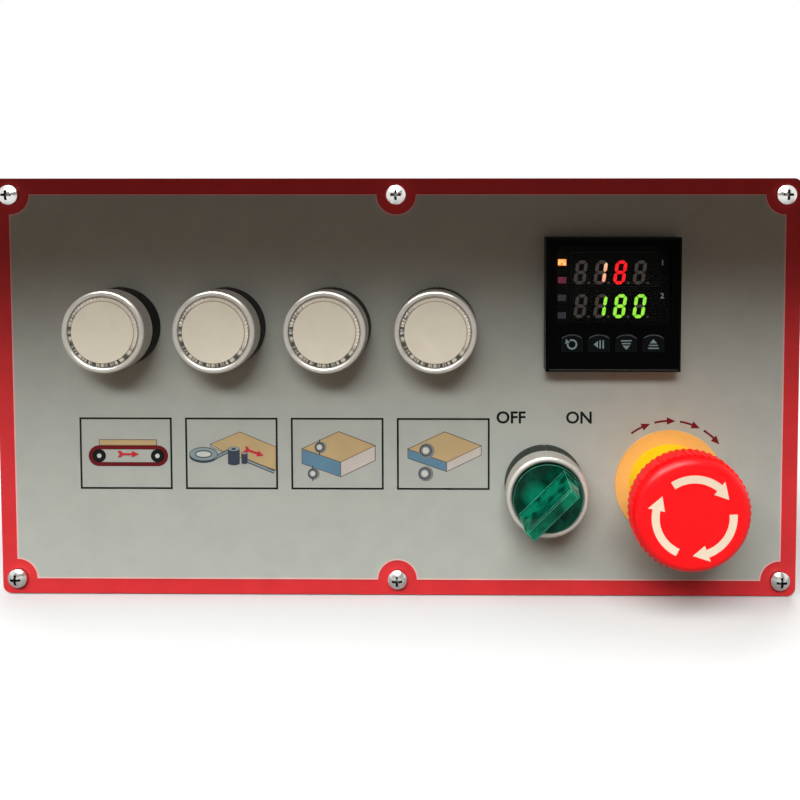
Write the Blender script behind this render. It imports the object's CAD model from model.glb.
"""Looks of the operator panel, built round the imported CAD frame.

Panel coordinates: x to the right and z up from the plate's centre, and h out of the film's face.
They and all sizes are in mm, unless a comment says metres.
"""
import math

import bmesh
import bpy
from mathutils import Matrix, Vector
from mathutils.geometry import tessellate_polygon

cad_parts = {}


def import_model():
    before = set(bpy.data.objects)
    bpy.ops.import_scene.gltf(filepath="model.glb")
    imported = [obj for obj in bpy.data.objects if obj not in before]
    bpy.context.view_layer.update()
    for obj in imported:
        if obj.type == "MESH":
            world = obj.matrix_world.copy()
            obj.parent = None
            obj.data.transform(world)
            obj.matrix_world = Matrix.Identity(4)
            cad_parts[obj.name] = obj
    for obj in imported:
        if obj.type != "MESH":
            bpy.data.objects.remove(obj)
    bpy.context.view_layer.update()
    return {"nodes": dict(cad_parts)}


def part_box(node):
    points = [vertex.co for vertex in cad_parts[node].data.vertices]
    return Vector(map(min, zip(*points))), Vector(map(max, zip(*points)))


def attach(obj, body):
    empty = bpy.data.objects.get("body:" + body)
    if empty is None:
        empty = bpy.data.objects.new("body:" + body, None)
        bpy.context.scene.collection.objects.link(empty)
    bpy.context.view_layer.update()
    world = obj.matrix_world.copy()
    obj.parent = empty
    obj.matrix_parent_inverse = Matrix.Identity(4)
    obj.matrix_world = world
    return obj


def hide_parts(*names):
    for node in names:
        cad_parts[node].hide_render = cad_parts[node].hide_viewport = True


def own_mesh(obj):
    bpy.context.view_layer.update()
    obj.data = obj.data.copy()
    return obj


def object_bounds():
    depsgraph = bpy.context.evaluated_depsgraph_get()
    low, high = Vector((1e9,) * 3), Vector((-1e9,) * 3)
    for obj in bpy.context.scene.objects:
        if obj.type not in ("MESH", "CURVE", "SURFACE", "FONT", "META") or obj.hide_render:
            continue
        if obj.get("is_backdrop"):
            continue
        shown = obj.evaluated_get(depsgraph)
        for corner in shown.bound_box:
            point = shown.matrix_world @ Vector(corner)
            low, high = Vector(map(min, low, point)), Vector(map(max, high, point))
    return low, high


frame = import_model()

MM = 0.001                                # a millimetre in metres
NODES = frame["nodes"]
FILM_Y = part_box("graphic_film")[0].y      # the film's face, in metres; the front looks along -Y
BUTTONS = range(1, 5)                     # numbers of the four push buttons


def middle(node):
    """Panel coordinates (x, z) of a node's middle."""
    low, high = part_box(node)
    return ((low.x + high.x) / 2 / MM, (low.z + high.z) / 2 / MM)


def front_h(node):
    """Height of a node's foremost point over the film."""
    return (FILM_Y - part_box(node)[0].y) / MM


def rear_h(node):
    """Height of a node's rearmost point over the film, below 0 behind it."""
    return (FILM_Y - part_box(node)[1].y) / MM


def at(x, z, h):
    """World point, in metres, of a place on the panel."""
    return Vector((x * MM, FILM_Y - h * MM, z * MM))


# ---------- Node trees ----------

NOISE_ROUGHNESS = 0.55


def srgb(r, g, b):
    """Linear colour of an 8-bit screen colour."""
    def linear(c):
        c /= 255
        return c / 12.92 if c <= 0.04045 else ((c + 0.055) / 1.055) ** 2.4
    return (linear(r), linear(g), linear(b), 1)


def times(colour, factor):
    """A colour made darker or lighter, and opaque."""
    return tuple(min(1, c * factor) for c in colour[:3]) + (1,)


def grey(value):
    """A grey, from 0 for black to 1 for white."""
    return (value, value, value, 1)


class Graph:
    """Node tree of a material or world. A step takes outputs or plain values, and returns its output."""

    def __init__(self, tree):
        self.nodes, self.links = tree.nodes, tree.links

    def feed(self, node, sockets):
        """Links each input socket to an output, or gives it a plain value."""
        for key, value in sockets.items():
            if isinstance(value, bpy.types.NodeSocket):
                self.links.new(value, node.inputs[key])
            else:
                node.inputs[key].default_value = value
        return node

    def add(self, kind, sockets):
        """New node with its sockets fed."""
        return self.feed(self.nodes.new("ShaderNode" + kind), sockets)

    def coords(self, centre=(0, 0, 0), unit=MM):
        """Object coordinates in a unit, counted from a centre; both are given in metres."""
        mapping = self.add("Mapping", {
            "Vector": self.nodes.new("ShaderNodeTexCoord").outputs["Object"],
            "Location": [-c / unit for c in centre],
            "Scale": [1 / unit] * 3,
        })
        return mapping.outputs["Vector"]

    def split(self, vector):
        """Outputs X, Y and Z of a vector."""
        return self.add("SeparateXYZ", {0: vector}).outputs

    def calculate(self, operation, first, second):
        """Number worked out from two numbers."""
        node = self.nodes.new("ShaderNodeMath")
        node.operation = operation
        return self.feed(node, {0: first, 1: second}).outputs[0]

    def vector_node(self, operation, *vectors):
        node = self.nodes.new("ShaderNodeVectorMath")
        node.operation = operation
        return self.feed(node, dict(enumerate(vectors)))

    def measure(self, operation, *vectors):
        """Number worked out from one or two vectors."""
        return self.vector_node(operation, *vectors).outputs["Value"]

    def axis_radius(self, where):
        """Distance from an axis along Y."""
        return self.measure("LENGTH", self.vector_node("MULTIPLY", where, (1, 0, 1)).outputs["Vector"])

    def clouds(self, where, scale, detail=4.0):
        """Cloudy numbers, most of them from 0.3 to 0.7."""
        texture = self.add("TexNoise", {
            "Vector": where, "Scale": scale, "Detail": detail, "Roughness": NOISE_ROUGHNESS,
        })
        return texture.outputs["Fac"]

    def stripes(self, along, scale, detail):
        """Uneven stripes along one number, such as an angle or a radius."""
        texture = self.nodes.new("ShaderNodeTexNoise")
        texture.noise_dimensions = "1D"
        return self.feed(texture, {"W": along, "Scale": scale, "Detail": detail}).outputs["Fac"]

    def ramp(self, value, low, high, start=0.3, end=0.7):
        """Number from low to high while the value goes from start to end, and no further on either side."""
        node = self.add("MapRange", {
            "Value": value, "From Min": start, "From Max": end, "To Min": low, "To Max": high,
        })
        return node.outputs["Result"]

    def blend(self, factor, first, second):
        """Colour between two colours."""
        node = self.nodes.new("ShaderNodeMix")
        node.data_type = "RGBA"
        return self.feed(node, {"Factor": factor, "A": first, "B": second}).outputs["Result"]

    def edges(self, radius):
        """1 along sharp edges, where a rounded normal leaves the true one, and 0 on flat faces."""
        rounded = self.add("Bevel", {"Radius": radius * MM})
        rounded.samples = 6
        true_normal = self.nodes.new("ShaderNodeNewGeometry").outputs["True Normal"]
        likeness = self.measure("DOT_PRODUCT", rounded.outputs["Normal"], true_normal)
        return self.ramp(likeness, 1, 0, start=0.9, end=0.985)

    def cavities(self, reach):
        """1 deep in a recess and 0 in the open."""
        open_share = self.add("AmbientOcclusion", {"Distance": reach * MM})
        open_share.samples = 8
        return self.ramp(open_share.outputs["AO"], 1, 0, start=0.5, end=0.85)

    def seen(self, kinds=("Is Glossy Ray", "Is Transmission Ray")):
        """1 for camera rays and the kinds named, 0 for rays that carry light onto the object."""
        path = self.nodes.new("ShaderNodeLightPath").outputs
        factor = path["Is Camera Ray"]
        for kind in kinds:
            factor = self.calculate("MAXIMUM", factor, path[kind])
        return factor


class Surface(Graph):
    """New material with a principled shader."""

    def __init__(self, name):
        self.material = bpy.data.materials.new(name)
        self.material.use_nodes = True
        super().__init__(self.material.node_tree)

    def shade(self, sockets):
        """Feeds sockets of the shader."""
        self.feed(self.nodes["Principled BSDF"], sockets)

    def relief(self, value, height, strength=1.0):
        """Bumps as high as the value says, up to a height."""
        bump = self.add("Bump", {"Height": value, "Distance": height * MM, "Strength": strength})
        self.shade({"Normal": bump.outputs["Normal"]})


# ---------- Kinds of material ----------

EDGE_WEAR_R = 0.15                        # how far paler edges reach on moulded parts
RECESS_BLACK = grey(0.01)
INK_ROUGHNESS = 0.45
INK_GRAIN_H = 0.004
LENS_TONE = srgb(210, 200, 184)
LENS_LINE_TONE = srgb(92, 80, 64)
LENS_TEETH_TONE = srgb(58, 61, 53)
LENS_BRIGHT_SIDE = (0.77, 0, 1)           # the teeth fade out in this direction, up and to the right
LENS_LINE_W = 0.3                         # width of the fading edge of a line on the ring
RIM_TONE = (0.7, 0.66, 0.6, 1)
LEVER_FOOT_H = 13.0                       # height of the foot of the selector's lever above the film
LAMP_SPOT = (-4.5, -LEVER_FOOT_H, 1.5)    # brightest place on the selector's disc, from its axis at the film
GREEN_DARK = (0.0, 0.008, 0.005, 1)
GREEN_DEEP = (0.0, 0.035, 0.02, 1)
GREEN_BRIGHT = (0.003, 0.2, 0.105, 1)


def moulded(name, colour, rough, tone=0.12, grain=3.0, grain_h=0.02, rough_spread=0.08, metallic=0.0,
            subsurface=0.0, specular=0.5, edge_colour=None, cavity_reach=0.0, glow=0.0):
    """Moulded, painted or cast surface, clouded and grained; its edges may be paler, its recesses dark."""
    surface = Surface(name)
    where = surface.coords()
    clouded = surface.ramp(surface.clouds(where, scale=0.12), 0, 1)
    tint = surface.blend(clouded, times(colour, 1 - tone), times(colour, 1 + tone))
    if edge_colour:
        tint = surface.blend(surface.edges(EDGE_WEAR_R), tint, edge_colour)
    if cavity_reach:
        tint = surface.blend(surface.cavities(cavity_reach), tint, RECESS_BLACK)
    if glow:
        surface.shade({"Emission Color": tint, "Emission Strength": glow})
    gloss = surface.clouds(where, scale=0.5)
    surface.shade({
        "Base Color": tint,
        "Roughness": surface.ramp(gloss, rough - rough_spread, rough + rough_spread),
        "Metallic": metallic,
        "Specular IOR Level": specular,
        "Subsurface Weight": subsurface,
        "Subsurface Scale": 2 * MM,
    })
    surface.relief(surface.clouds(where, scale=grain), grain_h)
    return surface.material


def ink(name, colour, tone, grain=2.0, specular=0.5):
    """Printed ink, with a softer relief than what it is printed on."""
    return moulded(name, colour, INK_ROUGHNESS, tone=tone, grain=grain, grain_h=INK_GRAIN_H,
                   specular=specular)


def prism_ring(name, centre, inner_r, outer_r):
    """Clear ring over a dark gap: dark teeth at its left and foot, a thin line at each edge of its face."""
    surface = Surface(name)
    where = surface.coords(centre)
    x, _, z = surface.split(where)
    teeth = surface.stripes(surface.calculate("ARCTAN2", x, z), scale=6.5, detail=3.0)
    brightness = surface.measure("DOT_PRODUCT", where, LENS_BRIGHT_SIDE)
    shaded = surface.ramp(brightness, 1, 0, start=-2.0, end=5.0)
    teeth_mask = surface.calculate("MULTIPLY", surface.ramp(teeth, 0, 1, start=0.42, end=0.54), shaded)
    radius = surface.axis_radius(where)
    inner_from, outer_to = inner_r + 0.15, outer_r - 0.1
    inner_line = surface.ramp(radius, 1, 0, start=inner_from, end=inner_from + LENS_LINE_W)
    outer_line = surface.ramp(radius, 0, 1, start=outer_to - LENS_LINE_W, end=outer_to)
    line_mask = surface.calculate("MULTIPLY", surface.calculate("MAXIMUM", inner_line, outer_line), 0.7)
    tint = surface.blend(teeth_mask, surface.blend(line_mask, LENS_TONE, LENS_LINE_TONE), LENS_TEETH_TONE)
    surface.shade({
        "Base Color": tint,
        "Emission Color": tint,
        "Emission Strength": 0.3,
        "Roughness": surface.ramp(surface.clouds(where, scale=1.0), 0.14, 0.26),
        "Transmission Weight": 0.2,
    })
    surface.relief(teeth, height=0.03)
    return surface.material


def turned_metal(name, centre):
    """Satin coated metal turned on a lathe about an axis along Y, with fine rings and soft wear."""
    surface = Surface(name)
    where = surface.coords(centre)
    wear = surface.clouds(where, scale=0.35, detail=3.0)
    surface.shade({
        "Base Color": surface.blend(surface.ramp(wear, 0, 1), times(RIM_TONE, 0.9), RIM_TONE),
        "Roughness": surface.ramp(wear, 0.33, 0.44),
        "Metallic": 0.5,
    })
    rings = surface.stripes(surface.axis_radius(where), scale=9.0, detail=5.0)
    surface.relief(rings, height=0.003, strength=0.5)
    return surface.material


def lit_green(name, centre, lever_h):
    """Deep green plastic over a lamp: a dark disc with one bright spot, and a lever with bright ends."""
    surface = Surface(name)
    where = surface.coords(centre)
    spot = surface.ramp(surface.measure("DISTANCE", where, LAMP_SPOT), 1, 0, start=1.5, end=5.5)
    disc = surface.blend(spot, GREEN_DARK, GREEN_BRIGHT)
    from_middle = surface.measure("DISTANCE", where, (0, -lever_h, 0))
    ends = surface.ramp(from_middle, 0.25, 1, start=2.0, end=8.0)
    mottle = surface.ramp(surface.clouds(where, scale=0.2, detail=2.0), 0, 1, start=0.4, end=0.6)
    lever = surface.blend(surface.calculate("MULTIPLY", mottle, ends), GREEN_DEEP, GREEN_BRIGHT)
    _, depth, _ = surface.split(where)
    on_lever = surface.ramp(depth, 1, 0, start=-LEVER_FOOT_H - 2.0, end=-LEVER_FOOT_H)
    surface.shade({
        "Emission Color": surface.blend(on_lever, disc, lever),
        "Emission Strength": 0.9,
        "Base Color": surface.blend(surface.edges(0.3), (0.0005, 0.012, 0.006, 1), (0.14, 0.5, 0.36, 1)),
        "Roughness": surface.ramp(surface.clouds(where, scale=0.8), 0.1, 0.22),
        "Transmission Weight": 0.05,
        "Specular IOR Level": 0.06,
    })
    surface.relief(surface.clouds(where, scale=1.2), height=0.006)
    return surface.material


def lamp_light(name, colour, strength, dark):
    """Display or lamp surface that glows in clouds from a dark tone to its colour."""
    surface = Surface(name)
    glow = surface.clouds(surface.coords(), scale=1.2, detail=2.0)
    surface.shade({
        "Emission Color": surface.blend(surface.ramp(glow, 0, 1), dark, colour),
        "Emission Strength": strength,
        "Base Color": times(colour, 0.2),
        "Roughness": 0.4,
    })
    return surface.material


def smoked_pane(name, opacity):
    """Thin glossy pane that dims what is behind it."""
    surface = Surface(name)
    surface.shade({
        "Base Color": (0.004, 0.0035, 0.0035, 1),
        "Roughness": surface.ramp(surface.clouds(surface.coords(), scale=0.4), 0.05, 0.12),
        "Specular IOR Level": 0.05,
        "Alpha": opacity,
    })
    return surface.material


# ---------- The part's materials ----------

RED = moulded("red_enamel", srgb(225, 54, 58), 0.42, tone=0.05, grain=0.9, grain_h=0.012, specular=0.22)
FILM = moulded("grey_film", srgb(187, 190, 182), 0.5, tone=0.035, grain=6.0, grain_h=0.014, specular=0.25)
BLACK = moulded("black_plastic", srgb(8, 7, 6), 0.55, tone=0.15, grain=5.0, grain_h=0.012, specular=0.2,
                edge_colour=srgb(30, 28, 25))
SLATE_BLACK = moulded("slate_black_plastic", srgb(44, 49, 44), 0.5, grain=5.0, grain_h=0.012,
                      specular=0.2, edge_colour=srgb(108, 112, 106))
CAP_WHITE = moulded("warm_white_plastic", srgb(206, 198, 180), 0.38, tone=0.03, grain=4.0, grain_h=0.006,
                    subsurface=0.15, glow=0.4)
ORANGE = moulded("pale_orange_plastic", srgb(242, 182, 100), 0.48, tone=0.04, grain=4.0, grain_h=0.01,
                 glow=0.08)
YELLOW = moulded("yellow_plastic", srgb(252, 206, 0), 0.35, tone=0.04, grain_h=0.008, specular=0.2,
                 glow=0.15)
HEAD_RED = moulded("signal_red_plastic", srgb(250, 1, 12), 0.36, tone=0.03, grain=1.2, grain_h=0.0015,
                   specular=0.4, glow=0.1)
ARROW_CREAM = moulded("cream_ink", srgb(246, 222, 196), 0.5, tone=0.05, grain_h=0.004)
ZINC = moulded("die_cast_zinc", (0.62, 0.62, 0.61, 1), 0.42, grain=2.2, grain_h=0.04, metallic=1.0)
SCREW_STEEL = moulded("plated_steel", (0.78, 0.77, 0.75, 1), 0.24, tone=0.1, grain=2.0, grain_h=0.01,
                      metallic=1.0, cavity_reach=1.2)
SPRING_STEEL = moulded("spring_steel", (0.55, 0.55, 0.57, 1), 0.3, tone=0.1, grain_h=0.01, metallic=1.0)
CONTACT_GREY = moulded("contact_plastic", srgb(62, 64, 66), 0.5, tone=0.1, grain=4.0, grain_h=0.03)
CONTACT_RED = moulded("stop_contact_plastic", srgb(150, 36, 34), 0.5, tone=0.1, grain=4.0, grain_h=0.03)
LAMP_GREY = moulded("lamp_block_plastic", srgb(196, 196, 190), 0.48, tone=0.05, grain=4.0)
BEZEL_BLACK = moulded("gloss_black_bezel", (0.0012, 0.0011, 0.0012, 1), 0.2, tone=0.1, grain=1.5,
                      grain_h=0.004, rough_spread=0.05, specular=0.02, edge_colour=(0.02, 0.02, 0.021, 1))
KEY_RUBBER = moulded("key_rubber", (0.003, 0.004, 0.0045, 1), 0.34, tone=0.2, grain=4.0, grain_h=0.01,
                     specular=0.05)
CASE_BLACK = moulded("case_plastic", srgb(40, 40, 42), 0.55, grain=5.0, grain_h=0.03)
STRIP_GREY = moulded("terminal_strip_plastic", srgb(96, 97, 99), 0.5, tone=0.08, grain=4.0, grain_h=0.03)
BOARD_GREEN = moulded("board_lacquer", (0.002, 0.01, 0.004, 1), 0.35, tone=0.2, grain=1.0, specular=0.04)
PANE = smoked_pane("smoked_pane", opacity=0.4)

INK_BLACK = ink("black_ink", srgb(18, 22, 20), 0.15, grain=4.0, specular=0.1)
INK_PINK = ink("pale_pink_line", srgb(246, 190, 186), 0.06, grain=3.0)
INK_WINE = ink("wine_red_ink", srgb(116, 28, 34), 0.1, grain=3.0, specular=0.1)
INK_RED = ink("red_ink", srgb(206, 58, 66), 0.1, grain=3.0, specular=0.1)
INK_TAN = ink("tan_ink", srgb(203, 175, 130), 0.06, specular=0.1)
INK_BROWN = ink("brown_ink", srgb(98, 80, 60), 0.1, grain=3.0, specular=0.1)
INK_BLUE = ink("blue_ink", srgb(104, 142, 166), 0.07, specular=0.1)
INK_STEEL = ink("steel_blue_ink", srgb(142, 158, 160), 0.08)
INK_SLATE = ink("slate_ink", srgb(66, 74, 88), 0.12, specular=0.1)
INK_BLUSH = ink("blush_ink", srgb(208, 197, 189), 0.04)
INK_GREY = ink("grey_ink", srgb(132, 132, 128), 0.08)
INK_PALE = ink("pale_ink", srgb(214, 218, 212), 0.04)
KEY_ICON = ink("key_icon_ink", srgb(140, 164, 170), 0.08)
KEY_LINE = ink("key_line_ink", srgb(88, 98, 104), 0.1)
BEZEL_LINE = ink("bezel_line_ink", srgb(62, 62, 64), 0.3)

SEG_OFF = lamp_light("unlit_segment", srgb(122, 112, 106), 0.8, srgb(96, 86, 80))
LED_DIM = lamp_light("unlit_indicator", srgb(110, 106, 112), 0.4, srgb(80, 78, 82))
LED_ROSE = lamp_light("faint_indicator", srgb(170, 70, 96), 0.9, srgb(110, 40, 60))
SEG_RED = lamp_light("red_segment", srgb(255, 40, 44), 2.9, srgb(235, 10, 24))
SEG_WHITE = lamp_light("hot_segment", srgb(255, 214, 170), 2.8, srgb(255, 150, 110))
SEG_GREEN = lamp_light("green_segment", srgb(184, 255, 84), 2.6, srgb(130, 240, 50))
LED_HOT = lamp_light("lit_indicator", srgb(255, 200, 110), 3.2, srgb(255, 50, 24))

DRESS = {
    "front_plate": RED, "graphic_film": FILM, "plate_screws": SCREW_STEEL, "rear_screws": SCREW_STEEL,
    "selector_housing": SLATE_BLACK, "selector_shaft": CAP_WHITE,
    "estop_legend": ORANGE, "estop_housing": YELLOW, "estop_head": HEAD_RED, "estop_spindle": BLACK,
    "estop_contacts": CONTACT_RED,
    "controller_bezel": BEZEL_BLACK, "controller_window": PANE, "controller_board": BOARD_GREEN,
    "controller_case": CASE_BLACK, "controller_clamp": BLACK, "controller_terminals": STRIP_GREY,
}
DRESS_BY_ENDING = {
    "_housing": BLACK, "_cap": CAP_WHITE, "_collar": ZINC, "_contacts": CONTACT_GREY, "_lamp": LAMP_GREY,
}


def finish_of(node):
    """Material of a CAD node, or None where a piece of the scene stands for the node."""
    if node in DRESS:
        return DRESS[node]
    if node.endswith("_rim"):
        x, z = middle(node)
        return turned_metal(node + "_metal", at(x, z, 0))
    if node == "selector_handle":
        x, z = middle("selector_rim")
        return lit_green("green_translucent", at(x, z, 0), front_h(node))
    if node.startswith("controller_key"):
        return KEY_RUBBER
    for ending, mat in DRESS_BY_ENDING.items():
        if node.endswith(ending):
            return mat
    return None


for node in NODES:
    finish = finish_of(node)
    if finish:
        for material_slot in NODES[node].material_slots:
            material_slot.link = "OBJECT"
            material_slot.material = finish


# ---------- Outlines ----------

# An outline is a list of points (x, z). A shape is a list of outlines: the first is its edge, the others
# are holes in it. The functions that move or print something take a list of shapes.

MITRE_LIMIT = 0.3                         # keeps a line's sharp corners short


def ring_points(x, z, rx, rz=None, count=48, start=0, end=360):
    """Outline of a circle or oval, or the points of an arc of it, its two ends included."""
    rz = rx if rz is None else rz
    closed = abs(end - start) >= 360
    steps = count if closed else count - 1
    angles = [math.radians(start + (end - start) * i / steps) for i in range(count)]
    return [(x + rx * math.cos(angle), z + rz * math.sin(angle)) for angle in angles]


def box_points(x0, z0, x1, z1):
    return [(x0, z0), (x1, z0), (x1, z1), (x0, z1)]


def centred_box(x, z, width, height):
    return box_points(x - width / 2, z - height / 2, x + width / 2, z + height / 2)


def band(points, width, closed=False):
    """Shape of a line of the given width along a list of points."""
    count = len(points)
    left, right = [], []
    for i, point in enumerate(points):
        here = Vector(point)
        before = Vector(points[(i - 1) % count]) if closed or i else None
        after = Vector(points[(i + 1) % count]) if closed or i < count - 1 else None
        into = (here - before).normalized() if before is not None else (after - here).normalized()
        out = (after - here).normalized() if after is not None else into
        normal = Vector((-into.y - out.y, into.x + out.x)).normalized()
        reach = width / 2 / max(MITRE_LIMIT, normal.dot(Vector((-into.y, into.x))))
        left.append(tuple(here + normal * reach))
        right.append(tuple(here - normal * reach))
    return [left, right] if closed else [left + right[::-1]]


def each_point(shapes, change):
    """The shapes with every point (x, z) changed."""
    return [[[change(x, z) for x, z in outline] for outline in outlines] for outlines in shapes]


def shift(shapes, dx, dz):
    return each_point(shapes, lambda x, z: (x + dx, z + dz))


def grow(shapes, factor):
    return each_point(shapes, lambda x, z: (x * factor, z * factor))


def turn(shapes, degrees):
    c, s = math.cos(math.radians(degrees)), math.sin(math.radians(degrees))
    return each_point(shapes, lambda x, z: (x * c - z * s, x * s + z * c))


def arrow(length, shaft, head_l, head_w, tail):
    """Arrow to the right, centred on 0, with a notched tail."""
    half, waist, notch = length / 2, 1.6 * tail, 0.7 * tail
    tip = [(half - head_l, -shaft / 2), (half - head_l, -head_w / 2), (half, 0), (half - head_l, head_w / 2),
           (half - head_l, shaft / 2)]
    low = [(-half, -head_w / 2), (-half + tail, -head_w / 2), (-half + waist, -shaft / 2)]
    return [[low + tip + [(x, -z) for x, z in reversed(low)] + [(-half + notch, 0)]]]


def arc_arrow(r, width, start, end, head_l, head_w):
    """Arrow that bends clockwise round 0, from one angle to another."""
    head_angle = math.degrees(head_l / r)
    stem = band(ring_points(0, 0, r, count=20, start=start, end=end + head_angle), width)
    point = (r * math.cos(math.radians(-head_angle)), r * math.sin(math.radians(-head_angle)))
    head = [(r - head_w / 2, 0), (r + head_w / 2, 0), point]
    return [stem] + turn([[head]], end + head_angle)


# ---------- Pieces ----------

INK_T = 0.03                              # thickness of printed ink
SUNK = 0.01                               # how far print on the controller reaches into its face
CAPITAL_SHARE = 0.7                       # height of a capital as a share of the font's size
LETTER_WEIGHT = 0.034                     # growth of a letter's strokes as a share of its height


def new_mesh(name, points, faces):
    """Mesh of world points, in metres."""
    mesh = bpy.data.meshes.new(name)
    mesh.from_pydata(points, [], faces)
    return mesh


def slab(name, shapes, h, thick):
    """Mesh of flat plates that stand on a height over the film."""
    points, faces = [], []
    for outlines in shapes:
        flat = [Vector((x, z, 0)) for outline in outlines for x, z in outline]
        first, count = len(points), len(flat)
        points += [at(p.x, p.y, h + thick) for p in flat] + [at(p.x, p.y, h) for p in flat]
        for triangle in tessellate_polygon([[Vector((x, z, 0)) for x, z in outline] for outline in outlines]):
            faces.append([first + i for i in triangle])
            faces.append([first + count + i for i in reversed(triangle)])
        for outline in outlines:
            size = len(outline)
            for i in range(size):
                a, b = first + i, first + (i + 1) % size
                faces.append([a, b, b + count, a + count])
            first += size
    mesh = new_mesh(name, points, faces)
    work = bmesh.new()
    work.from_mesh(mesh)
    bmesh.ops.recalc_face_normals(work, faces=work.faces)
    work.to_mesh(mesh)
    work.free()
    return mesh


def add_piece(name, mesh, mat, body):
    """New piece that rides on a body and takes its finish from a slot of the record."""
    mesh.materials.append(mat)
    piece = bpy.data.objects.new(name, mesh)
    bpy.context.collection.objects.link(piece)
    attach(piece, body)
    return piece


def inlay(name, shapes, mat, body, h, thick):
    """Flat piece whose rear face lies at a height over the film."""
    return add_piece(name, slab(name, shapes, h, thick), mat, body)


def on_film(name, shapes, mat, thick=INK_T):
    return inlay(name, shapes, mat, "panel", h=0, thick=thick)


def on_board(name, shapes, mat, thick):
    """Lit or dark shape behind the controller's pane."""
    return inlay(name, shapes, mat, "panel", h=front_h("controller_board"), thick=thick)


def letters(name, text, size, x, z, mat, body, h=0):
    """Printed letters centred on a point; size is the height of a capital."""
    curve = bpy.data.curves.new(name, "FONT")
    curve.body = text
    curve.size = size / CAPITAL_SHARE
    curve.align_x = "CENTER"
    curve.align_y = "CENTER"
    curve.extrude = INK_T / 2
    curve.offset = size * LETTER_WEIGHT
    curve.resolution_u = 4
    holder = bpy.data.objects.new(name + "_curve", curve)
    bpy.context.collection.objects.link(holder)
    mesh = bpy.data.meshes.new_from_object(holder.evaluated_get(bpy.context.evaluated_depsgraph_get()))
    bpy.data.objects.remove(holder)
    bpy.data.curves.remove(curve)
    for vertex in mesh.vertices:
        vertex.co = at(vertex.co.x + x, vertex.co.y + z, h + INK_T / 2 + vertex.co.z)
    mesh.materials.clear()
    return add_piece(name, mesh, mat, body)


# ---------- Film: edge line, pictograms and words ----------

SCALLOP_R = 7.1                           # bare round in the film at each screw
EDGE_LINE_W, EDGE_LINE_T = 0.45, 0.05
PICTURE_W, PICTURE_H = 34.1, 26.7
PICTURE_LINE = 0.7                        # width of a pictogram's frame
PICTURE_GROWTH = 1.035                    # how much larger than its drawing a pictogram is printed
PICTURE_PITCH = 39.0
PICTURE_XS = [-100.0 + PICTURE_PITCH * i for i in range(4)]
PICTURE_Z = -24.1
LAYER_RISE = 0.6 * INK_T                  # how much further each layer of a pictogram stands out
THIN_LINE = 0.2                           # width of the brown lines round a drawn board


def film_edge():
    """Pale line along the film's edge, round the scallops at the screws."""
    _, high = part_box("graphic_film")
    x1, z1 = high.x / MM, high.z / MM
    r = SCALLOP_R + EDGE_LINE_W / 2
    screws = ((x1, z1, 270), (0, z1, 360), (-x1, z1, 360), (-x1, -z1, 90), (0, -z1, 180), (x1, -z1, 180))
    path = []
    for x, z, start in screws:
        sweep = 180 if x == 0 else 90
        path += ring_points(x, z, r, count=24, start=start, end=start - sweep)
    on_film("film_edge_line", [band(path, EDGE_LINE_W, closed=True)], INK_PINK, thick=EDGE_LINE_T)


def picture(name, x, layers):
    """Framed pictogram: each layer is (ink, shapes), printed over the one before."""
    outer = centred_box(0, 0, PICTURE_W, PICTURE_H)
    inner = centred_box(0, 0, PICTURE_W - 2 * PICTURE_LINE, PICTURE_H - 2 * PICTURE_LINE)
    on_film(f"{name}_0", shift([[outer, inner]], x, PICTURE_Z), INK_BLACK)
    for level, (layer_ink, shapes) in enumerate(layers, 1):
        printed = shift(grow(shapes, PICTURE_GROWTH), x, PICTURE_Z)
        on_film(f"{name}_{level}", printed, layer_ink, thick=INK_T + LAYER_RISE * level)


def stadium(x, z, half_w, half_h):
    """Outline of a bar with round ends."""
    reach = half_w - half_h
    right = ring_points(x + reach, z, half_h, count=20, start=-90, end=90)
    left = ring_points(x - reach, z, half_h, count=20, start=90, end=270)
    return right + left


def belt_picture():
    """Conveyor belt on two hubs, with a board on it and an arrow in it."""
    x, z = 0.8, -0.9
    half_w, half_h, belt_t, outline_w = 14.2, 3.75, 1.45, 0.15
    hub_r, pin_r, hub_reach = 2.35, 0.8, 10.4
    hubs = [(x - hub_reach, z), (x + hub_reach, z)]
    board = box_points(-9.5, 2.9, 10.9, 4.9)

    def belt(inset):
        return [stadium(x, z, half_w - inset, half_h - inset),
                stadium(x, z, half_w - belt_t + inset, half_h - belt_t + inset)]

    picture("picture_belt", PICTURE_XS[0], [
        (INK_BLACK, [belt(0)]),
        (INK_WINE, [belt(outline_w)]),
        (INK_BLACK, [[ring_points(*hub, hub_r)] for hub in hubs]),
        (INK_PALE, [[ring_points(*hub, pin_r, count=24)] for hub in hubs]),
        (INK_TAN, [[board]]),
        (INK_BROWN, [band(board, THIN_LINE, closed=True)]),
        (INK_RED, shift(arrow(7.8, 0.8, 2.6, 2.3, tail=1.2), x, -0.3)),
    ])


def tin(x, top, foot, r):
    """Side view of a standing round tin with an oval top and foot."""
    oval_r = r * 0.38
    return [[ring_points(x, top, r, oval_r, count=20, start=0, end=180)
             + ring_points(x, foot, r, oval_r, count=20, start=180, end=360)]]


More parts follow.
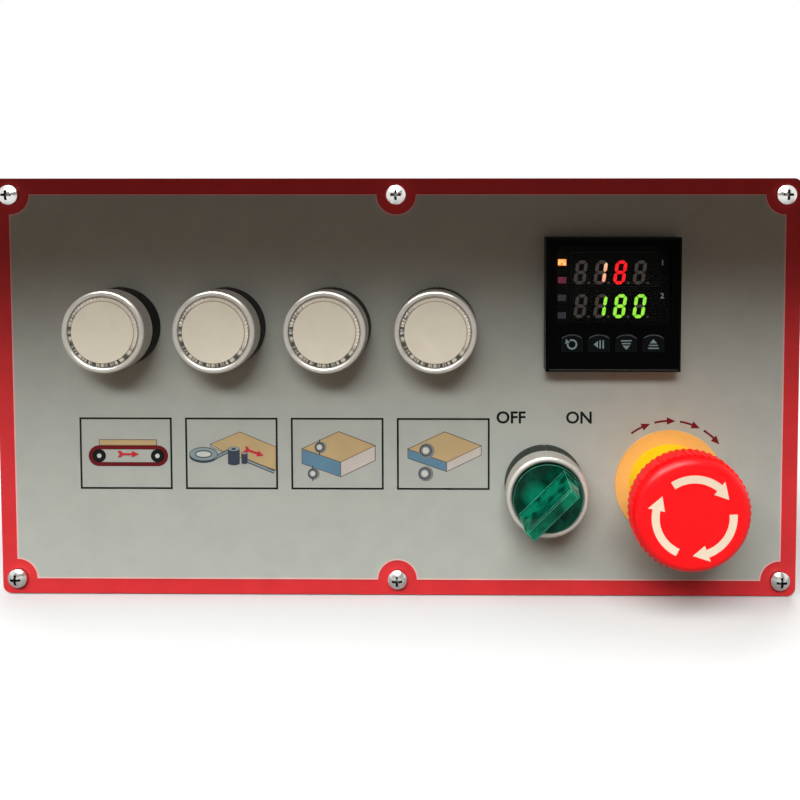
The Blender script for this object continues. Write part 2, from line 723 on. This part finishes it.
def tape_picture():
    """Tape from a reel, led past two guides along the edge of a board."""
    board = [(-7.5, 3.4), (3.0, 7.8), (15.8, 2.4), (15.8, -6.0), (-3.2, 0.9)]
    board_foot = [(-7.5, 3.4), (-7.5, 2.5), (-2.2, 0.0)]
    board_line_w = 0.18
    runs = ([(-6.2, -1.7), (-1.0, 1.0)], [(4.6, -2.2), (15.2, -6.6)])
    reel, reel_t = (-10.0, -0.2), 0.7
    reel_rs, rim_rs, bore_rs, hole_rs = (5.1, 2.5), (5.0, 2.4), (2.8, 1.15), (2.65, 1.0)
    big, small = (0.8, 1.7), (4.6, 0.2)  # middles of the guides' tops
    picture("picture_tape", PICTURE_XS[1], [
        (INK_TAN, [[board]]),
        (INK_BROWN, [band(board, board_line_w, closed=True), band(board_foot, board_line_w)]),
        (INK_SLATE, shift([[ring_points(*reel, *reel_rs)]], 0, -reel_t) + [band(run, 1.3) for run in runs]),
        (INK_STEEL, [[ring_points(*reel, *reel_rs)]] + [band(run, 0.6) for run in runs]),
        (INK_SLATE, [band(ring_points(*reel, *rim_rs), 0.2, closed=True),
                     band(ring_points(*reel, *bore_rs), 0.45, closed=True)]),
        (INK_PALE, [[ring_points(*reel, *hole_rs)]]),
        (INK_SLATE, tin(*big, -3.4, 2.1) + tin(*small, -3.3, 1.1)),
        (INK_STEEL, [[ring_points(*big, 2.0, 0.72)], [ring_points(*small, 1.0, 0.4)]]),
        (INK_BLACK, [[ring_points(*big, 0.75, 0.3)]]),
        (INK_RED, shift(turn(arrow(7.4, 0.8, 2.4, 2.1, tail=1.1), -20), 8.0, 0.5)),
    ])


def block_picture(name, x, height, disc_r, discs, ticks):
    """Board of a given height seen from a corner, with a coated front edge and two rollers."""
    left, corner, right, rear = (-12.6, 1.8), (1.2, -3.0), (13.5, 3.0), (0.5, 8.0)
    tick_l, tick_w, shadow_x, shadow_z = 1.2, 0.35, 0.35, -0.1
    tread_r, hub_r, tread_w = disc_r * 0.72, disc_r * 0.42, 0.42

    def lower(point):
        return (point[0], point[1] - height)

    marks = []
    for disc_x, disc_z in discs:
        for way in (-1, 1) if ticks else ():
            z0 = disc_z + way * (disc_r - tick_l / 2)
            marks.append(band([(disc_x, z0), (disc_x, z0 + way * tick_l)], tick_w))
    picture(name, x, [
        (INK_TAN, [[[left, corner, right, rear]]]),
        (INK_BLUE, [[[left, corner, lower(corner), lower(left)]]]),
        (INK_BLUSH, [[[corner, right, lower(right), lower(corner)]]]),
        (INK_BROWN, [band([left, corner, right, rear], THIN_LINE, closed=True),
                     band([left, lower(left), lower(corner), lower(right), right], THIN_LINE),
                     band([corner, lower(corner)], THIN_LINE)]),
        (INK_GREY, shift([[ring_points(*disc, disc_r)] for disc in discs], shadow_x, shadow_z)),
        (INK_SLATE, [band(ring_points(*disc, tread_r), tread_w, closed=True) for disc in discs] + marks),
        (INK_PALE, [[ring_points(*disc, hub_r, count=28)] for disc in discs]),
    ])


def selector_words():
    """OFF and ON over the selector's two positions."""
    x, z = middle("selector_rim")
    size, rise = 4.3, 24.3
    for name, text, dx in (("selector_off", "OFF", -12.2), ("selector_on", "ON", 12.8)):
        letters(name, text, size, x + dx, z + rise, INK_BLACK, "panel")


def estop_arc():
    """Four arrows over the orange disc, in the direction that the head turns."""
    x, z = middle("estop_legend")
    sweep = 19
    shapes = []
    for start in (127, 104, 81, 58):
        shapes += arc_arrow(23.4, 0.75, start, start - sweep, head_l=3.2, head_w=2.8)
    on_film("estop_turn_arc", shift(shapes, x, z), INK_WINE)


film_edge()
belt_picture()
tape_picture()
block_picture("picture_edge_high", PICTURE_XS[2], 5.3, 2.1, [(-6.3, 2.4), (-8.8, -7.1)], ticks=True)
block_picture("picture_edge_low", PICTURE_XS[3], 3.3, 2.7, [(-6.2, 1.3), (-6.6, -7.0)], ticks=False)
selector_words()
estop_arc()


# ---------- Push buttons ----------

LENS_BORE_R = 10.78                       # inner radius of a button's clear ring
LENS_GAP = 0.08                           # gap between that ring and the metal rim
LENS_LAND = 0.5                           # plain edge inside the prisms
LENS_CHAMFER = 0.15
RIM_W = 2.1                               # width of the metal rim
PRISMS = 60
PRISM_STEPS = 4                           # points along one prism
PRISM_H = 0.3
WIRE_D = 0.8
COIL_TURNS = 5
COIL_STEPS = 28                           # points along one turn of wire
WIRE_SIDES = 10


def lens_ring(number):
    """Clear ring with a crown of radial prisms round a button's cap."""
    node = f"button_{number}_lens_ring"
    x, z = middle(node)
    foot, top = rear_h(node), front_h(node)
    outer_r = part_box(f"button_{number}_rim")[1].x / MM - x - RIM_W - LENS_GAP
    profile = [  # radius, height, and the share of a valley's depth that is cut away there
        (LENS_BORE_R, foot, 0), (LENS_BORE_R, top, 0), (LENS_BORE_R + LENS_LAND, top, 0),
        (outer_r - LENS_CHAMFER, top, 1), (outer_r, top - LENS_CHAMFER, 1), (outer_r, foot, 0),
    ]
    count, size = PRISMS * PRISM_STEPS, len(profile)
    points, faces = [], []
    for k in range(count):
        angle = 2 * math.pi * k / count
        c, s = math.cos(angle), math.sin(angle)
        valley = PRISM_H * abs((k % PRISM_STEPS) / PRISM_STEPS * 2 - 1)
        points += [at(x + r * c, z + r * s, h - valley * cut) for r, h, cut in profile]
        a, b = k * size, (k + 1) % count * size
        faces += [[a + j, a + (j + 1) % size, b + (j + 1) % size, b + j] for j in range(size)]
    clear = prism_ring(node + "_clear", at(x, z, 0), LENS_BORE_R, outer_r)
    mesh = new_mesh(node + "_prisms", points, faces)
    piece = add_piece(node + "_prisms", mesh, clear, f"button_{number}_moving")
    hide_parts(node)


def coil_mesh(name, x, z, foot, top, coil_r):
    """Round wire wound about an axis along Y, from one height over the film to another."""
    wire_r = WIRE_D / 2
    rings = COIL_TURNS * COIL_STEPS
    points, faces = [], []
    for k in range(rings + 1):
        turned = 2 * math.pi * k / COIL_STEPS
        for j in range(WIRE_SIDES):
            side = 2 * math.pi * j / WIRE_SIDES
            reach = coil_r + wire_r * math.cos(side)
            rise = wire_r + (top - foot - WIRE_D) * k / rings + wire_r * math.sin(side)
            points.append(at(x + reach * math.cos(turned), z + reach * math.sin(turned), foot + rise))
    for k in range(rings):
        for j in range(WIRE_SIDES):
            a, b = k * WIRE_SIDES + j, k * WIRE_SIDES + (j + 1) % WIRE_SIDES
            faces.append([a, a + WIRE_SIDES, b + WIRE_SIDES, b])
    caps = [list(range(WIRE_SIDES)), [rings * WIRE_SIDES + j for j in reversed(range(WIRE_SIDES))]]
    mesh = new_mesh(name, points, faces + caps)
    mesh.update()
    for face in mesh.polygons[:-len(caps)]:
        face.use_smooth = True
    return mesh


def spring_coil(node):
    """Return spring, which shortens as its joint goes in."""
    low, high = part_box(node)
    x, z = middle(node)
    coil_r = (high.x - low.x) / MM / 2 - WIRE_D / 2
    mesh = coil_mesh(node + "_coil", x, z, rear_h(node), front_h(node), coil_r)
    piece = add_piece(node + "_coil", mesh, SPRING_STEEL, "panel")
    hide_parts(node)
    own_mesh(piece)


for button in BUTTONS:
    lens_ring(button)
for button in BUTTONS:
    spring_coil(f"button_{button}_spring")
spring_coil("estop_spring")


# ---------- Emergency stop ----------

def head_arrows():
    """Three arrows on the head, in the direction that it turns."""
    x, z = middle("estop_head")
    outer_r, width, sunk, thick = 14.0, 2.6, 0.02, 0.05
    shapes = []
    for start, end in ((124, 28), (5, -92), (-115, -214)):
        shapes += arc_arrow(outer_r - width / 2, width, start, end, head_l=5.0, head_w=5.6)
    inlay("estop_head_arrows", shift(shapes, x, z), ARROW_CREAM, "estop_mushroom",
          h=front_h("estop_head") - sunk, thick=thick)


head_arrows()


# ---------- Controller ----------

# Places are counted from the bezel's middle, the keys' prints from each key.
CONTROLLER_X, CONTROLLER_Z = middle("controller_bezel")
DIGIT_W, DIGIT_H = 4.2, 8.6
SEGMENT_W = 1.2
SEGMENT_GAP = 0.12 * SEGMENT_W            # at each end of a segment
SLANT = 0.14                              # how far a digit leans, as a share of its height
DIGIT_XS = (-11.3, -4.2, 2.8, 9.8)
DIGIT_ROWS = {"upper": 11.3, "lower": -0.8}
SEGMENTS = {  # ends of each segment, as shares of the digit's half width and half height
    "a": ((-1, 1), (1, 1)), "b": ((1, 1), (1, 0)), "c": ((1, 0), (1, -1)), "d": ((-1, -1), (1, -1)),
    "e": ((-1, 0), (-1, -1)), "f": ((-1, 1), (-1, 0)), "g": ((-1, 0), (1, 0)),
}
LIT = {"1": "bc", "8": "abcdefg", "0": "abcdef", " ": ""}
SEGMENT_T = 0.04
POINT_R = 0.45                            # decimal point
POINT_DX, POINT_DZ = 0.75, 0.5            # its place from the digit's lower right corner
LED_X, LED_TOP_Z, LED_PITCH = -18.0, 14.9, 6.35
LED_W, LED_H, LED_T = 2.9, 2.2, 0.3
SIGN_T = 0.04                             # thickness of the prints on the keys
SIGN_DROP = 0.4                           # of a sign below its key's middle
ARCH_R, ARCH_W = 6.0, 0.25                # line along a key's upper edge
ARCH_INSET, ARCH_DROP = 0.4, 0.25         # from that line to the key's sides and to its top
ROW_NUMBER_SIZE = 1.9
ROW_NUMBER_X, ROW_NUMBER_ZS = 17.0, (14.9, 3.2)
BEZEL_LINE_W, BEZEL_LINE_H, BEZEL_LINE_Z = 45.6, 0.24, -23.1


def segment(x, z, key):
    """Outline of one pointed segment of a slanted digit."""
    reach_x, reach_z = (DIGIT_W - SEGMENT_W) / 2, (DIGIT_H - SEGMENT_W) / 2
    (ax, az), (bx, bz) = [(share_x * reach_x, share_z * reach_z) for share_x, share_z in SEGMENTS[key]]
    along = Vector((bx - ax, bz - az)).normalized()
    across = Vector((-along.y, along.x)) * SEGMENT_W / 2
    start, end = Vector((ax, az)) + along * SEGMENT_GAP, Vector((bx, bz)) - along * SEGMENT_GAP
    tip = along * SEGMENT_W / 2
    points = [start, start + tip + across, end - tip + across, end, end - tip - across, start + tip - across]
    return [(x + p.x + p.y * SLANT, z + p.y) for p in points]


def display_row(name, text, inks):
    """Row of digits with their decimal points, where unlit segments show as well."""
    z = CONTROLLER_Z + DIGIT_ROWS[name]
    dark = []
    for i, (digit, lit_ink) in enumerate(zip(text, inks)):
        x = CONTROLLER_X + DIGIT_XS[i]
        lit = [[segment(x, z, key)] for key in LIT[digit]]
        dark += [[segment(x, z, key)] for key in SEGMENTS if key not in LIT[digit]]
        if lit:
            on_board(f"{name}_digit_{i + 1}", lit, lit_ink, SEGMENT_T)
        dark.append([ring_points(x + DIGIT_W / 2 + POINT_DX, z - DIGIT_H / 2 + POINT_DZ, POINT_R, count=16)])
    on_board(f"{name}_unlit", dark, SEG_OFF, SEGMENT_T)


def indicators():
    """Column of indicator lamps at the left of the digits."""
    for i, mat in enumerate((LED_HOT, LED_ROSE, LED_DIM, LED_DIM)):
        lamp = centred_box(CONTROLLER_X + LED_X, CONTROLLER_Z + LED_TOP_Z - LED_PITCH * i, LED_W, LED_H)
        on_board(f"indicator_{i + 1}", [[lamp]], mat, LED_T)


def key_signs():
    """The four keys' signs, drawn about 0: a turning arrow, and arrows to the left, down and up."""
    back = [band(ring_points(0, 0, 1.55, count=30, start=120, end=-190), 0.6),
            [[(-2.4, 0.2), (-0.8, 0.7), (-2.1, 2.0)]]]
    left = [[[(-1.9, 0), (-0.4, 1.3), (-0.4, -1.3)]],
            [box_points(0.1, -1.5, 0.6, 1.5)],
            [box_points(1.2, -1.5, 1.7, 1.5)]]
    down = [[[(0, -1.9), (1.3, -0.4), (-1.3, -0.4)]],
            [box_points(-1.6, 0.1, 1.6, 0.55)],
            [box_points(-1.9, 1.1, 1.9, 1.55)]]
    return back, left, down, turn(down, 180)


def key_prints():
    """A sign on each key, and a pale line along its arched upper edge."""
    for i, sign in enumerate(key_signs(), 1):
        node = f"controller_key_{i}"
        low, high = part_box(node)
        x, z = middle(node)
        h = front_h(node) - SUNK
        half_w = (high.x - low.x) / 2 / MM
        half_angle = math.degrees(math.asin((half_w - ARCH_INSET) / ARCH_R))
        arch = ring_points(x, high.z / MM - ARCH_R - ARCH_DROP, ARCH_R, count=16, start=90 + half_angle,
                           end=90 - half_angle)
        prints = {"icon": (shift(sign, x, z - SIGN_DROP), KEY_ICON), "line": ([band(arch, ARCH_W)], KEY_LINE)}
        for kind, (shapes, mat) in prints.items():
            inlay(f"key_{i}_{kind}", shapes, mat, f"key_{i}", h=h, thick=SIGN_T)


def row_numbers():
    """A plain number beside each row of digits, printed on the pane."""
    for i, z in enumerate(ROW_NUMBER_ZS, 1):
        letters(f"row_number_{i}", str(i), ROW_NUMBER_SIZE, CONTROLLER_X + ROW_NUMBER_X, CONTROLLER_Z + z,
                KEY_ICON, "panel", h=front_h("controller_window") - SUNK)


def bezel_line():
    """Pale line where the bezel's lower bevel begins."""
    strip = centred_box(CONTROLLER_X, CONTROLLER_Z + BEZEL_LINE_Z, BEZEL_LINE_W, BEZEL_LINE_H)
    inlay("bezel_lower_line", [[strip]], BEZEL_LINE, "panel",
          h=front_h("controller_bezel") - SUNK, thick=INK_T)


display_row("upper", " 18 ", (None, SEG_WHITE, SEG_RED, None))
display_row("lower", " 180", (None, SEG_GREEN, SEG_GREEN, SEG_GREEN))
indicators()
key_prints()
row_numbers()
bezel_line()


# ---------- Stage, light and camera, in metres ----------

FLOOR_GAP = 0.0005                        # between the floor and the part's lowest point
FLOOR_HALF = 1.5
FLOOR_FADE = (0.32, 0.8)                  # distances at which the floor begins and ends to fade
FLAG_HALF_W, FLAG_REACH, FLAG_Z = 0.36, 0.110, 0.112
CARD_HALF_W, CARD_LOW, CARD_TOP, CARD_Y = 1.6, -0.07, 1.6, -1.3
CAMERA_AT = (26.3, 63.4, 241.2)           # panel coordinates, mm
CAMERA_TILT, CAMERA_TURN = -2.08, 0.4     # degrees, up and to the left
CAMERA_SHIFT = (-0.08, -0.20)             # shares of the picture's width
FOCAL_LENGTH, SENSOR_W = 29.9, 36         # mm


def stage_plane(name, corners, surface):
    """Quad that isn't part of the object."""
    mesh = new_mesh(name, corners, [(0, 1, 2, 3)])
    mesh.materials.append(surface.material)
    plane = bpy.data.objects.new(name, mesh)
    bpy.context.collection.objects.link(plane)
    plane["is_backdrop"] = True
    return plane


def floor():
    """Pale floor that fades into the white background with distance."""
    surface = Surface("pale_floor")
    unseen = surface.blend(surface.seen(), (0.05, 0.035, 0.025, 1), grey(0.3))
    from_middle = surface.measure("LENGTH", surface.coords(unit=1))
    surface.shade({
        "Base Color": surface.blend(surface.seen(()), unseen, grey(0.62)),
        "Roughness": 0.95,
        "Specular IOR Level": 0.1,
        "Alpha": surface.ramp(from_middle, 1, 0, *FLOOR_FADE),
    })
    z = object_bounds()[0].z - FLOOR_GAP
    corners = [(x, y, z) for x, y in box_points(-FLOOR_HALF, -FLOOR_HALF, FLOOR_HALF, FLOOR_HALF)]
    stage_plane("floor", corners, surface)


def flag():
    """Dark card over the panel, out of the camera's sight: it shades the panel's upper part."""
    surface = Surface("dark_card")
    surface.shade({"Base Color": (0.03, 0.025, 0.022, 1), "Roughness": 0.8})
    corners = [(x, y, FLAG_Z) for x, y in box_points(-FLAG_HALF_W, FILM_Y - FLAG_REACH, FLAG_HALF_W, FILM_Y)]
    card = stage_plane("flag", corners, surface)
    card.visible_camera = False
    card.visible_glossy = False
    card.visible_transmission = False


def front_card():
    """Grey card in front of the panel that only gloss sees, as in a photographer's tent."""
    surface = Surface("grey_card")
    surface.shade({"Base Color": grey(0), "Emission Color": (0.24, 0.22, 0.2, 1), "Emission Strength": 1.0})
    corners = [(x, CARD_Y, z) for x, z in box_points(-CARD_HALF_W, CARD_LOW, CARD_HALF_W, CARD_TOP)]
    card = stage_plane("front_card", corners, surface)
    card.visible_camera = False
    card.visible_diffuse = False
    card.visible_transmission = False
    card.visible_shadow = False


def world(colour, strength):
    """Dim light from all round, where camera, gloss and clear parts see white."""
    studio = bpy.data.worlds.new("studio")
    bpy.context.scene.world = studio
    studio.use_nodes = True
    graph = Graph(studio.node_tree)
    lighting = graph.feed(graph.nodes["Background"], {"Color": colour, "Strength": strength})
    shown = graph.add("Background", {"Color": grey(1), "Strength": 1.0})
    mix = graph.add("MixShader", {0: graph.seen(), 1: lighting.outputs[0], 2: shown.outputs[0]})
    graph.feed(graph.nodes["World Output"], {"Surface": mix.outputs[0]})


def area_light(name, place, target, size, power, colour=(1, 1, 1)):
    """Softbox that faces a target; power in watts."""
    data = bpy.data.lights.new(name, "AREA")
    data.shape = "RECTANGLE"
    data.size, data.size_y = size
    data.energy = power
    data.color = colour
    lamp = bpy.data.objects.new(name, data)
    lamp.location = place
    lamp.rotation_mode = "QUATERNION"
    lamp.rotation_quaternion = (Vector(target) - Vector(place)).to_track_quat("-Z", "Y")
    lamp.visible_camera = False
    bpy.context.collection.objects.link(lamp)


def camera():
    """The photograph's viewpoint."""
    data = bpy.data.cameras.new("camera")
    data.sensor_width = SENSOR_W
    data.lens = FOCAL_LENGTH
    data.shift_x, data.shift_y = CAMERA_SHIFT
    data.clip_start, data.clip_end = 0.01, 20
    cam = bpy.data.objects.new("camera", data)
    cam.location = at(*CAMERA_AT)
    cam.rotation_euler = (math.radians(90 + CAMERA_TILT), 0, math.radians(CAMERA_TURN))
    bpy.context.collection.objects.link(cam)
    bpy.context.scene.camera = cam


floor()
flag()
front_card()
world((1, 0.6, 0.38, 1), 0.095)
area_light("key_softbox", place=(-0.2, -0.45, 0.75), target=(0, 0, -0.03), size=(1.1, 0.7), power=34.0,
           colour=(0.97, 1, 1))
area_light("front_fill", place=(0.1, -0.9, -0.02), target=(0, 0, -0.05), size=(0.5, 0.1), power=0.1)
area_light("rear_softbox", place=(0.5, 0.7, 0.5), target=(0, 0.04, 0), size=(0.6, 0.5), power=6.0)
area_light("rear_fill", place=(-0.6, 0.5, 0.25), target=(0, 0.04, 0), size=(0.5, 0.4), power=3.0)
camera()
bpy.context.scene.view_settings.view_transform = "Standard"
